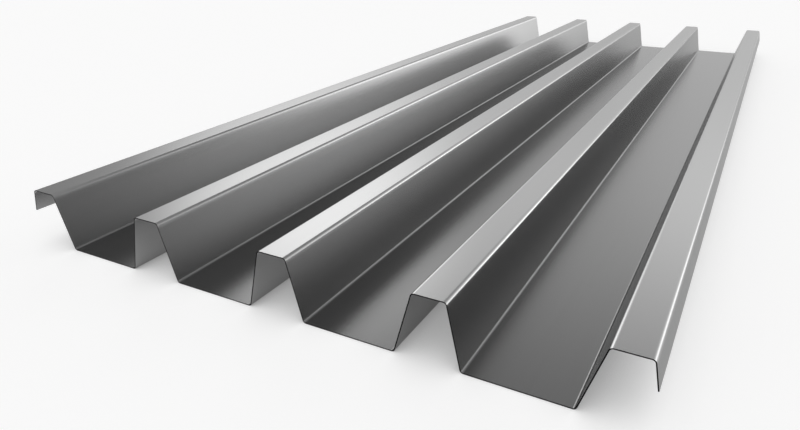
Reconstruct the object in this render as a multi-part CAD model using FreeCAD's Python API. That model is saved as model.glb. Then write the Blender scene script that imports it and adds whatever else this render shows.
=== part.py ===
import FreeCAD, Part
import math
import os

# Composite floor deck sheet: one length of galvanised steel strip, roll-formed into
# trapezoidal ribs with square-cut ends. Millimetres. X runs across the ribs, Y along
# them, and Z up from the underside of the troughs, which the sheet lies on.
# The section is drawn as the middle surface of the strip, fold to fold, and then gets
# its thickness to both sides.

# Driving dimensions
sheet_length = 2050.0       # along the ribs
sheet_thickness = 1.25
rib_pitch = 187.5           # from one rib to the next
trough_count = 4            # the ribs stand between and beside the troughs
rib_depth = 74.5            # from a trough to a crest, measured on the same face
crest_width = 36.75         # flat top of a rib, between its folds
trough_width = 113.0        # flat bottom between two ribs, between its folds
lap_lip_drop = 29.5         # height of the lip that hangs from each outermost crest
inner_bend_radius = 3.5     # inside face of every fold


def fold_points():
    """Sharp folds of the middle surface as (x, z), from the left lip to the right lip."""
    low = sheet_thickness / 2
    high = low + rib_depth
    web_run = (rib_pitch - crest_width - trough_width) / 2
    lip_run = lap_lip_drop * web_run / rib_depth
    half_span = trough_count * rib_pitch / 2
    points = []
    for crest in range(trough_count + 1):
        centre = crest * rib_pitch - half_span
        left, right = centre - crest_width / 2, centre + crest_width / 2
        if crest == 0:
            points.append((left - lip_run, high - lap_lip_drop))
        else:
            points.append((left - web_run, low))
        points += [(left, high), (right, high)]
        if crest == trough_count:
            points.append((right + lip_run, high - lap_lip_drop))
        else:
            points.append((right + web_run, low))
    return [FreeCAD.Vector(x, 0, z) for x, z in points]


def left_normal(start, end):
    """Unit normal on the upper side of a flat that runs from start to end."""
    run = (end - start).normalize()
    return FreeCAD.Vector(-run.z, 0, run.x)


def face_line(points, offset):
    """Flats and bend arcs of one face of the strip, offset from its middle surface."""
    bend_radius = inner_bend_radius + sheet_thickness / 2
    here = points[0] + left_normal(points[0], points[1]) * offset
    edges = []
    for before, fold, after in zip(points, points[1:], points[2:]):
        normal_in, normal_out = left_normal(before, fold), left_normal(fold, after)
        run_in = (fold - before).normalize()
        side = math.copysign(1, normal_in.dot(after - fold))    # 1 where the strip bends upwards
        setback = bend_radius * math.tan(run_in.getAngle(after - fold) / 2)
        centre = fold - run_in * setback + normal_in * (side * bend_radius)
        radius = side * bend_radius - offset
        bisector = (normal_in + normal_out).normalize()
        arc_start, arc_middle, arc_end = (
            centre - normal * radius for normal in (normal_in, bisector, normal_out))
        edges.append(Part.LineSegment(here, arc_start).toShape())
        edges.append(Part.Arc(arc_start, arc_middle, arc_end).toShape())
        here = arc_end
    finish = points[-1] + left_normal(points[-2], points[-1]) * offset
    edges.append(Part.LineSegment(here, finish).toShape())
    return edges


def cut_edge(upper_edge, lower_edge, end):
    """Square cut through the thickness, at the first (0) or last (-1) end of both faces."""
    return Part.LineSegment(upper_edge.Vertexes[end].Point, lower_edge.Vertexes[end].Point).toShape()


def deck_sheet():
    points = fold_points()
    upper = face_line(points, sheet_thickness / 2)
    lower = face_line(points, -sheet_thickness / 2)
    lip_cuts = [cut_edge(upper[0], lower[0], 0), cut_edge(upper[-1], lower[-1], -1)]
    outline = Part.Wire(Part.__sortEdges__(upper + lower + lip_cuts))
    section = Part.Face(outline)
    section.translate(FreeCAD.Vector(0, -sheet_length / 2, 0))
    return section.extrude(FreeCAD.Vector(0, sheet_length, 0))


os.makedirs("parts", exist_ok=True)
sheet = deck_sheet()
sheet.exportStep("parts/deck_sheet.step")
box = sheet.BoundBox
print("deck_sheet valid:", sheet.isValid(), "solids:", len(sheet.Solids), "closed:", sheet.isClosed())
print("size mm: %.3f x %.3f x %.3f" % (box.XLength, box.YLength, box.ZLength), "from z %.4f" % box.ZMin)
print("volume cm3: %.1f" % (sheet.Volume / 1000))
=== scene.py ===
import math

import bpy
from mathutils import Euler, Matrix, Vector


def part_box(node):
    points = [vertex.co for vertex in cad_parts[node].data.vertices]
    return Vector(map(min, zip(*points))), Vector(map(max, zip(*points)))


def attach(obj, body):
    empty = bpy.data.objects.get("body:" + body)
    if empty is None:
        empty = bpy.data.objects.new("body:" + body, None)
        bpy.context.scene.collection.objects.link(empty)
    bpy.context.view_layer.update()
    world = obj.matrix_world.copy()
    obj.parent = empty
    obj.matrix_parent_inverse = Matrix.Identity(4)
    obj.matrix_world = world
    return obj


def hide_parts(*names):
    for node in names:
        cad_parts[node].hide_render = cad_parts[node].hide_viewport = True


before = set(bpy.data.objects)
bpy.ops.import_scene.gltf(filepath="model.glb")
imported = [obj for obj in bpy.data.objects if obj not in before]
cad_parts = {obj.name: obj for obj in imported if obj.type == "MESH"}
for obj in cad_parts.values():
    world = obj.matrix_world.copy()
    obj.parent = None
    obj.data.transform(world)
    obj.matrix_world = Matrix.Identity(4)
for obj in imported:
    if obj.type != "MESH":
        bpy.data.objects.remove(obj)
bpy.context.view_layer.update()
sheetLow, sheetHigh = (Vector(corner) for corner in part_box("deck_sheet"))
sheetSize = sheetHigh - sheetLow
millimetre = 0.001
print("frame loaded, sheet", [round(side / millimetre, 1) for side in sheetSize], "mm")

# The rolled section in millimetres, fold to fold on the middle of the strip.
# Its depth and its length come from the frame.
deckSheet = {
    "troughs": 4,
    "ribPitch": 187.5,
    "crestWidth": 36.75,
    "troughWidth": 113.0,
    "lipDrop": 29.5,
    "thickness": 1.25,
    "insideBendRadius": 3.5,
    "bendSegments": 14,
    "weld": 0.01,             # points closer than this become one
    "sharpTurn": 40.0,        # degrees, an edge that turns more stays sharp
}

# Smooth bright zinc coat, with faint streaks along the rolling direction. A real sheet has one
# coat all over: the step that makes the crest flats lighter than the rest is painted light and shade.
galvanisedFinish = {
    "crestZincPaintedLight": "#D8D8D8",
    "troughZincPaintedShade": "#A7A7A7",
    "crestGrazingPaintedShade": "#B4B4B4",     # painted shade on the reflections: both keep the far ends of the flats from whitening
    "troughGrazingPaintedShade": "#C4C4C4",
    "paintedLightFade": (0.90, 0.99),     # shares of the sheet's height that the painted light step runs between
    "roughness": 0.25,
    "streakRoughness": 0.004,
    "streakRange": (0.3, 0.7),     # noise values that the roughness runs between
    "streakTone": 0.10,       # share of the step from trough to crest
    "streakWidth": 2.5,       # mm, across the rolling direction
    "streakLength": 180.0,    # mm, along it
    "spangleTone": 0.01,
    "spangleSize": 1.6,       # mm
}

# Sheared strip edge: bare steel, part burnished by the blade and part torn, mottled between the two. Both
# are painted nearly black, a painted shade.
shearedFinish = {
    "burnishedPaintedShade": "#101010",   # painted shade, dark enough to draw the section as a thin line
    "tornPaintedShade": "#080808",
    "roughness": 0.45,
    "tearSize": 0.6,          # mm
    "tearHeight": 0.02,       # mm
    "tearStrength": 0.6,
}

# Angles in degrees: heading is left of the ribs' direction, height is above the floor.
studioLight = {
    "backdrop": 1.0,          # white at the floor's edge, all round
    "backdropFade": (0.0, 4.0),
    "horizon": 1.05,          # wall of soft light, low down
    "ceiling": 0.22,
    "wallFade": (14.0, 42.0),
    "rightSide": 0.20,        # share of the wall's light that is left on the right
    "rightFade": (0.55, 0.85),     # how far right a direction points, 1 is square right
    "leftSide": 0.42,
    "leftFade": (-0.85, -0.50),    # the same, -1 is square left
    "boxes": {
        "leftBox": {"heading": 37.0, "height": 22.5, "reach": 16.0, "strength": 1.00},
        "farBox": {"heading": -1.0, "height": 13.0, "reach": 13.0, "strength": 0.38},
        "lowBox": {"heading": 20.0, "height": 4.0, "reach": 18.0, "strength": 0.30},
        "rightBox": {"heading": -25.0, "height": 4.0, "reach": 17.0, "strength": 1.35},
        "overheadBox": {"heading": 180.0, "height": 72.0, "reach": 50.0, "strength": 1.10},
    },
}

studioFloor = {
    "paint": "#CFCFCF",
    "glow": 0.535,            # what lifts it to near white without more light on the sheet
    "contact": 1.0,           # mm, what lies closer is lit through the floor
    "hollowReach": 60.0,      # mm, how far the glow dims under the ribs, a painted shadow on the floor there
    "hollowSamples": 8,
    "halfSide": 30.0,         # m
}

camera = {
    "lens": 28.8,             # mm, on a 36 mm sensor
    "pastRightEdge": 6.4,     # mm
    "beforeNearEnd": 473.0,   # mm
    "eyeHeight": 386.5,       # mm
    "headingLeft": 28.67,     # degrees from the ribs' direction
    "tiltDown": 29.14,        # degrees
    "shift": (0.0090, 0.0797),
}


# An sRGB hex colour as linear RGBA
def linear(hexColour):
    channels = [int(hexColour[i:i + 2], 16) / 255 for i in (1, 3, 5)]
    return [c / 12.92 if c <= 0.04045 else ((c + 0.055) / 1.055) ** 2.4 for c in channels] + [1.0]


# One node with its settings, its inputs set or linked by name or number
def addNode(tree, kind, settings=None, inputs=None):
    node = tree.nodes.new(kind)
    for name, value in (settings or {}).items():
        setattr(node, name, value)
    for name, value in (inputs or {}).items():
        if isinstance(value, bpy.types.NodeSocket):
            tree.links.new(value, node.inputs[name])
        else:
            node.inputs[name].default_value = value
    return node


def newMaterial(name):
    material = bpy.data.materials.new(name)
    material.use_nodes = True
    material.node_tree.nodes.clear()
    return material, material.node_tree


def makeGalvanisedSteel(finish):
    material, tree = newMaterial("galvanisedSteel")
    place = addNode(tree, "ShaderNodeTexCoord").outputs["Object"]
    across, along = (1 / (finish[size] * millimetre) for size in ("streakWidth", "streakLength"))
    stretched = addNode(tree, "ShaderNodeMapping", None,
                        {"Vector": place, "Scale": (across, along, across)}).outputs[0]
    streaks = addNode(tree, "ShaderNodeTexNoise", None,
                      {"Vector": stretched, "Scale": 1.0, "Detail": 3.0}).outputs[0]
    spangle = addNode(tree, "ShaderNodeTexVoronoi", None, {
        "Vector": place, "Scale": 1 / (finish["spangleSize"] * millimetre)}).outputs["Color"]
    spangle = addNode(tree, "ShaderNodeSeparateColor", None, {"Color": spangle}).outputs[0]
    height = addNode(tree, "ShaderNodeSeparateXYZ", None, {0: place}).outputs["Z"]
    low, high = (sheetLow.z + share * sheetSize.z for share in finish["paintedLightFade"])
    # painted light and shade: a step by height, lighter on the crest flats, darker below them
    paintedLightShare = addNode(tree, "ShaderNodeMapRange", {"interpolation_type": "SMOOTHSTEP"}, {
        "Value": height, "From Min": low, "From Max": high}).outputs[0]
    tone = addNode(tree, "ShaderNodeMath", {"operation": "MULTIPLY_ADD"}, {
        0: streaks, 1: finish["streakTone"], 2: paintedLightShare}).outputs[0]
    tone = addNode(tree, "ShaderNodeMath", {"operation": "MULTIPLY_ADD"}, {
        0: spangle, 1: finish["spangleTone"], 2: tone}).outputs[0]
    colour = addNode(tree, "ShaderNodeMix", {"data_type": "RGBA"}, {
        0: tone, 6: linear(finish["troughZincPaintedShade"]), 7: linear(finish["crestZincPaintedLight"])}).outputs[2]
    low, high = finish["streakRange"]
    roughness = addNode(tree, "ShaderNodeMapRange", None, {
        "Value": streaks, "From Min": low, "From Max": high,
        "To Min": finish["roughness"] - finish["streakRoughness"],
        "To Max": finish["roughness"] + finish["streakRoughness"]}).outputs[0]
    # painted shade on the reflections, stepped by height with the same share as the colour
    grazing = addNode(tree, "ShaderNodeMix", {"data_type": "RGBA"}, {
        0: paintedLightShare, 6: linear(finish["troughGrazingPaintedShade"]), 7: linear(finish["crestGrazingPaintedShade"])}).outputs[2]
    steel = addNode(tree, "ShaderNodeBsdfPrincipled", None, {
        "Base Color": colour, "Metallic": 1.0, "Roughness": roughness,
        "Specular Tint": grazing})
    addNode(tree, "ShaderNodeOutputMaterial", None, {"Surface": steel.outputs[0]})
    return material


def makeShearedEdge(finish):
    material, tree = newMaterial("shearedSteelEdge")
    place = addNode(tree, "ShaderNodeTexCoord").outputs["Object"]
    tears = addNode(tree, "ShaderNodeTexNoise", None, {
        "Vector": place, "Scale": 1 / (finish["tearSize"] * millimetre), "Detail": 4.0}).outputs[0]
    # painted shade: both colours are far darker than bare steel, the burnished and torn mottling is real
    colour = addNode(tree, "ShaderNodeMix", {"data_type": "RGBA"}, {
        0: tears, 6: linear(finish["tornPaintedShade"]), 7: linear(finish["burnishedPaintedShade"])}).outputs[2]
    relief = addNode(tree, "ShaderNodeBump", None, {
        "Height": tears, "Strength": finish["tearStrength"],
        "Distance": finish["tearHeight"] * millimetre}).outputs[0]
    steel = addNode(tree, "ShaderNodeBsdfPrincipled", None, {
        "Base Color": colour, "Metallic": 1.0, "Roughness": finish["roughness"], "Normal": relief})
    addNode(tree, "ShaderNodeOutputMaterial", None, {"Surface": steel.outputs[0]})
    return material


# Each rib has four folds: left foot, left of the crest, right of the crest, right foot.
# The first and the last fold of the row are the ends of the lap lips instead.
def buildSheetTree(sizes):
    tree = bpy.data.node_groups.new("rolledDeckSheet", "GeometryNodeTree")
    for name, kind in (("Troughs", "Int"), ("Rib Pitch", "Float"), ("Rib Depth", "Float"),
                       ("Crest Width", "Float"), ("Web Run", "Float"), ("Lip Drop", "Float"),
                       ("Lip Run", "Float"), ("Thickness", "Float"), ("Bend Radius", "Float"),
                       ("Bend Segments", "Int"), ("Length", "Float"), ("Zinc Coat", "Material"),
                       ("Cut Edge", "Material")):
        tree.interface.new_socket(name=name, in_out="INPUT", socket_type="NodeSocket" + kind)
    tree.interface.new_socket(name="Sheet", in_out="OUTPUT", socket_type="NodeSocketGeometry")
    size = addNode(tree, "NodeGroupInput").outputs

    # which rib and which of its folds
    index = addNode(tree, "GeometryNodeInputIndex").outputs[0]
    fold = addNode(tree, "ShaderNodeMath", {"operation": "FLOORED_MODULO"}, {0: index, 1: 4.0}).outputs[0]
    ribFirst = addNode(tree, "ShaderNodeMath", {"operation": "SUBTRACT"}, {0: index, 1: fold}).outputs[0]
    middle = addNode(tree, "ShaderNodeMath", {"operation": "SUBTRACT"}, {0: fold, 1: 1.5}).outputs[0]
    side = addNode(tree, "ShaderNodeMath", {"operation": "SIGN"}, {0: middle}).outputs[0]
    reach = addNode(tree, "ShaderNodeMath", {"operation": "ABSOLUTE"}, {0: middle}).outputs[0]
    atFoot = addNode(tree, "ShaderNodeMath", {"operation": "GREATER_THAN"}, {0: reach, 1: 1.0}).outputs[0]

    # the two lips: the folds farthest from the middle of the row
    halfRow = addNode(tree, "ShaderNodeMath", {"operation": "MULTIPLY_ADD"},
                      {0: size["Troughs"], 1: 2.0, 2: 1.5}).outputs[0]
    offMiddle = addNode(tree, "ShaderNodeMath", {"operation": "SUBTRACT"}, {0: index, 1: halfRow}).outputs[0]
    offMiddle = addNode(tree, "ShaderNodeMath", {"operation": "ABSOLUTE"}, {0: offMiddle}).outputs[0]
    lipLimit = addNode(tree, "ShaderNodeMath", {"operation": "SUBTRACT"}, {0: halfRow, 1: 0.5}).outputs[0]
    atLip = addNode(tree, "ShaderNodeMath", {"operation": "GREATER_THAN"},
                    {0: offMiddle, 1: lipLimit}).outputs[0]
    run = addNode(tree, "ShaderNodeMix", None, {0: atLip, 2: size["Web Run"], 3: size["Lip Run"]}).outputs[0]
    drop = addNode(tree, "ShaderNodeMix", None, {
        0: atLip, 2: size["Rib Depth"], 3: size["Lip Drop"]}).outputs[0]

    # fold's place across the sheet and its height
    ribNumber = addNode(tree, "ShaderNodeMath", {"operation": "DIVIDE"}, {0: ribFirst, 1: 4.0}).outputs[0]
    fromCentre = addNode(tree, "ShaderNodeMath", {"operation": "MULTIPLY_ADD"},
                         {0: size["Troughs"], 1: -0.5, 2: ribNumber}).outputs[0]
    halfCrest = addNode(tree, "ShaderNodeMath", {"operation": "MULTIPLY"},
                        {0: size["Crest Width"], 1: 0.5}).outputs[0]
    outward = addNode(tree, "ShaderNodeMath", {"operation": "MULTIPLY_ADD"},
                      {0: atFoot, 1: run, 2: halfCrest}).outputs[0]
    offRib = addNode(tree, "ShaderNodeMath", {"operation": "MULTIPLY"}, {0: side, 1: outward}).outputs[0]
    across = addNode(tree, "ShaderNodeMath", {"operation": "MULTIPLY_ADD"},
                     {0: fromCentre, 1: size["Rib Pitch"], 2: offRib}).outputs[0]
    crestHeight = addNode(tree, "ShaderNodeMath", {"operation": "MULTIPLY_ADD"},
                          {0: size["Thickness"], 1: 0.5, 2: size["Rib Depth"]}).outputs[0]
    fall = addNode(tree, "ShaderNodeMath", {"operation": "MULTIPLY"}, {0: atFoot, 1: drop}).outputs[0]
    height = addNode(tree, "ShaderNodeMath", {"operation": "SUBTRACT"}, {0: crestHeight, 1: fall}).outputs[0]
    nearEnd = addNode(tree, "ShaderNodeMath", {"operation": "MULTIPLY"},
                      {0: size["Length"], 1: -0.5}).outputs[0]
    foldPlace = addNode(tree, "ShaderNodeCombineXYZ", None,
                        {"X": across, "Y": nearEnd, "Z": height}).outputs[0]

    # middle of the strip: folds, bends, then the whole length
    foldCount = addNode(tree, "ShaderNodeMath", {"operation": "MULTIPLY_ADD"},
                        {0: size["Troughs"], 1: 4.0, 2: 4.0}).outputs[0]
    row = addNode(tree, "GeometryNodeMeshLine", None, {"Count": foldCount}).outputs[0]
    row = addNode(tree, "GeometryNodeSetPosition", None, {"Geometry": row, "Position": foldPlace}).outputs[0]
    sectionLine = addNode(tree, "GeometryNodeMeshToCurve", None, {"Mesh": row}).outputs[0]
    sectionLine = addNode(tree, "GeometryNodeFilletCurve", {"mode": "POLY"}, {
        "Curve": sectionLine, "Count": size["Bend Segments"], "Radius": size["Bend Radius"]}).outputs[0]
    section = addNode(tree, "GeometryNodeCurveToMesh", None, {"Curve": sectionLine}).outputs[0]
    lengthways = addNode(tree, "ShaderNodeCombineXYZ", None, {"Y": size["Length"]}).outputs[0]
    strip = addNode(tree, "GeometryNodeExtrudeMesh", {"mode": "EDGES"},
                    {"Mesh": section, "Offset": lengthways}).outputs[0]

    # half the thickness down, the whole thickness up, and the underside turned over
    normal = addNode(tree, "GeometryNodeInputNormal").outputs[0]
    halfDown = addNode(tree, "ShaderNodeMath", {"operation": "MULTIPLY"},
                       {0: size["Thickness"], 1: -0.5}).outputs[0]
    sinking = addNode(tree, "ShaderNodeVectorMath", {"operation": "SCALE"},
                      {0: normal, "Scale": halfDown}).outputs[0]
    under = addNode(tree, "GeometryNodeSetPosition", None, {"Geometry": strip, "Offset": sinking}).outputs[0]
    raised = addNode(tree, "GeometryNodeExtrudeMesh", {"mode": "FACES"}, {
        "Mesh": under, "Offset Scale": size["Thickness"], "Individual": False})
    turned = addNode(tree, "GeometryNodeFlipFaces", None, {"Mesh": under}).outputs[0]
    both = addNode(tree, "GeometryNodeJoinGeometry")
    for part in (turned, raised.outputs["Mesh"]):
        tree.links.new(part, both.inputs[0])
    closed = addNode(tree, "GeometryNodeMergeByDistance", None, {
        "Geometry": both.outputs[0], "Distance": sizes["weld"] * millimetre}).outputs[0]

    # round over the bends, sharp at the cut edges
    turn = addNode(tree, "GeometryNodeInputMeshEdgeAngle").outputs[0]
    rounded = addNode(tree, "ShaderNodeMath", {"operation": "LESS_THAN"},
                      {0: turn, 1: math.radians(sizes["sharpTurn"])}).outputs[0]
    shaded = addNode(tree, "GeometryNodeSetShadeSmooth", {"domain": "EDGE"},
                     {"Geometry": closed, "Shade Smooth": rounded}).outputs[0]
    real = addNode(tree, "GeometryNodeRealizeInstances", None, {"Geometry": shaded}).outputs[0]
    coated = addNode(tree, "GeometryNodeSetMaterial", None,
                     {"Geometry": real, "Material": size["Zinc Coat"]}).outputs[0]
    cut = addNode(tree, "GeometryNodeSetMaterial", None, {
        "Geometry": coated, "Selection": raised.outputs["Side"], "Material": size["Cut Edge"]}).outputs[0]
    addNode(tree, "NodeGroupOutput", None, {"Sheet": cut})
    return tree


def makeSheet(sizes, zincCoat, cutEdge):
    thickness = sizes["thickness"] * millimetre
    ribDepth = sheetSize.z - thickness
    webRun = (sizes["ribPitch"] - sizes["crestWidth"] - sizes["troughWidth"]) / 2 * millimetre
    lipDrop = sizes["lipDrop"] * millimetre
    values = {
        "Troughs": sizes["troughs"], "Rib Pitch": sizes["ribPitch"] * millimetre, "Rib Depth": ribDepth,
        "Crest Width": sizes["crestWidth"] * millimetre, "Web Run": webRun, "Lip Drop": lipDrop,
        "Lip Run": lipDrop * webRun / ribDepth, "Thickness": thickness,
        "Bend Radius": sizes["insideBendRadius"] * millimetre + thickness / 2,
        "Bend Segments": sizes["bendSegments"], "Length": sheetSize.y,
        "Zinc Coat": zincCoat, "Cut Edge": cutEdge}
    tree = buildSheetTree(sizes)
    rolled = bpy.data.objects.new("deckSheet", bpy.data.meshes.new("deckSheet"))
    bpy.context.scene.collection.objects.link(rolled)
    rolling = rolled.modifiers.new("rolling", "NODES")
    rolling.node_group = tree
    for socket in tree.interface.items_tree:
        if socket.in_out == "INPUT":
            rolling[socket.identifier] = values[socket.name]
    flats = rolled.modifiers.new("flatShading", "WEIGHTED_NORMAL")
    flats.keep_sharp = True
    depsgraph = bpy.context.evaluated_depsgraph_get()
    made = bpy.data.meshes.new_from_object(
        rolled.evaluated_get(depsgraph), preserve_all_data_layers=True, depsgraph=depsgraph)
    made.materials.pop(index=0)    # the empty slot that the tree starts from
    rolled.modifiers.clear()
    rolled.data = made
    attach(rolled, "root")
    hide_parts("deck_sheet")
    print("sheet rolled,", len(made.polygons), "faces,", [m.name for m in made.materials])


def makeCamera(view):
    data = bpy.data.cameras.new("studioCamera")
    data.lens = view["lens"]
    data.shift_x, data.shift_y = view["shift"]
    shooter = bpy.data.objects.new("studioCamera", data)
    bpy.context.scene.collection.objects.link(shooter)
    shooter.location = (sheetHigh.x + view["pastRightEdge"] * millimetre,
                        sheetLow.y - view["beforeNearEnd"] * millimetre,
                        sheetLow.z + view["eyeHeight"] * millimetre)
    shooter.rotation_euler = Euler(
        (math.radians(90 - view["tiltDown"]), 0, math.radians(view["headingLeft"])))
    bpy.context.scene.camera = shooter
    print("camera placed")


def makeFloor(floorLook):
    material, tree = newMaterial("paleStudioFloor")
    paint = addNode(tree, "ShaderNodeBsdfDiffuse", None, {"Color": linear(floorLook["paint"])}).outputs[0]
    path = addNode(tree, "ShaderNodeLightPath").outputs
    seen = addNode(tree, "ShaderNodeMath", {"operation": "MAXIMUM"}, {
        0: path["Is Camera Ray"], 1: path["Is Glossy Ray"]}).outputs[0]
    seen = addNode(tree, "ShaderNodeMath", {"operation": "MAXIMUM"}, {
        0: seen, 1: path["Is Transmission Ray"]}).outputs[0]
    # painted shadow: the glow is dimmed where the ribs cover the floor
    openSky = addNode(tree, "ShaderNodeAmbientOcclusion", {"samples": floorLook["hollowSamples"]}, {
        "Distance": floorLook["hollowReach"] * millimetre}).outputs["AO"]
    glow = addNode(tree, "ShaderNodeMath", {"operation": "MULTIPLY"}, {0: seen, 1: openSky}).outputs[0]
    glow = addNode(tree, "ShaderNodeMath", {"operation": "MULTIPLY"},
                   {0: glow, 1: floorLook["glow"]}).outputs[0]
    glow = addNode(tree, "ShaderNodeEmission", None, {"Strength": glow}).outputs[0]
    lit = addNode(tree, "ShaderNodeAddShader", None, {0: paint, 1: glow}).outputs[0]
    # clear from below and to what lies on it, so that the undersides show in views from below
    fromBelow = addNode(tree, "ShaderNodeNewGeometry").outputs["Backfacing"]
    touching = addNode(tree, "ShaderNodeMath", {"operation": "LESS_THAN"}, {
        0: path["Ray Length"], 1: floorLook["contact"] * millimetre}).outputs[0]
    letThrough = addNode(tree, "ShaderNodeMath", {"operation": "MAXIMUM"}, {
        0: fromBelow, 1: touching}).outputs[0]
    clear = addNode(tree, "ShaderNodeBsdfTransparent").outputs[0]
    surface = addNode(tree, "ShaderNodeMixShader", None, {0: letThrough, 1: lit, 2: clear}).outputs[0]
    addNode(tree, "ShaderNodeOutputMaterial", None, {"Surface": surface})
    mesh = bpy.data.meshes.new("studioFloor")
    corners = [(x * floorLook["halfSide"], y * floorLook["halfSide"], sheetLow.z)
               for x, y in ((-1, -1), (1, -1), (1, 1), (-1, 1))]
    mesh.from_pydata(corners, [], [(0, 1, 2, 3)])
    mesh.materials.append(material)
    floor = bpy.data.objects.new("studioFloor", mesh)
    bpy.context.scene.collection.objects.link(floor)
    print("floor laid")


def makeStudioLight(light):
    world = bpy.data.worlds.new("studioAir")
    world.use_nodes = True
    tree = world.node_tree
    tree.nodes.clear()
    direction = addNode(tree, "ShaderNodeTexCoord").outputs["Object"]
    parts = addNode(tree, "ShaderNodeSeparateXYZ", None, {0: direction}).outputs
    low, high = (math.sin(math.radians(height)) for height in light["wallFade"])
    wall = addNode(tree, "ShaderNodeMapRange", {"interpolation_type": "SMOOTHSTEP"}, {
        "Value": parts["Z"], "From Min": low, "From Max": high,
        "To Min": light["horizon"], "To Max": light["ceiling"]}).outputs[0]
    low, high = light["rightFade"]
    rightDim = addNode(tree, "ShaderNodeMapRange", {"interpolation_type": "SMOOTHSTEP"}, {
        "Value": parts["X"], "From Min": low, "From Max": high,
        "To Min": 1.0, "To Max": light["rightSide"]}).outputs[0]
    low, high = light["leftFade"]
    leftDim = addNode(tree, "ShaderNodeMapRange", {"interpolation_type": "SMOOTHSTEP"}, {
        "Value": parts["X"], "From Min": low, "From Max": high,
        "To Min": light["leftSide"], "To Max": 1.0}).outputs[0]
    total = addNode(tree, "ShaderNodeMath", {"operation": "MULTIPLY"}, {0: wall, 1: rightDim}).outputs[0]
    total = addNode(tree, "ShaderNodeMath", {"operation": "MULTIPLY"}, {0: total, 1: leftDim}).outputs[0]
    low, high = (math.sin(math.radians(height)) for height in light["backdropFade"])
    overBackdrop = addNode(tree, "ShaderNodeMapRange", {"interpolation_type": "SMOOTHSTEP"}, {
        "Value": parts["Z"], "From Min": low, "From Max": high}).outputs[0]
    total = addNode(tree, "ShaderNodeMix", None, {
        0: overBackdrop, 2: light["backdrop"], 3: total}).outputs[0]
    for box in light["boxes"].values():
        heading, height = math.radians(box["heading"]), math.radians(box["height"])
        aim = (-math.sin(heading) * math.cos(height), math.cos(heading) * math.cos(height),
               math.sin(height))
        closeness = addNode(tree, "ShaderNodeVectorMath", {"operation": "DOT_PRODUCT"},
                            {0: direction, 1: aim}).outputs["Value"]
        spot = addNode(tree, "ShaderNodeMapRange", {"interpolation_type": "SMOOTHSTEP"}, {
            "Value": closeness, "From Min": math.cos(math.radians(box["reach"])), "From Max": 1.0,
            "To Min": 0.0, "To Max": box["strength"]}).outputs[0]
        total = addNode(tree, "ShaderNodeMath", {"operation": "ADD"}, {0: total, 1: spot}).outputs[0]
    air = addNode(tree, "ShaderNodeBackground", None, {"Strength": total})
    air.inputs["Color"].default_value = linear("#FFFFFF")
    addNode(tree, "ShaderNodeOutputWorld", None, {"Surface": air.outputs[0]})
    bpy.context.scene.world = world
    print("studio lit")


bpy.context.scene.view_settings.view_transform = "Standard"
makeCamera(camera)
makeSheet(deckSheet, makeGalvanisedSteel(galvanisedFinish), makeShearedEdge(shearedFinish))
makeFloor(studioFloor)
makeStudioLight(studioLight)
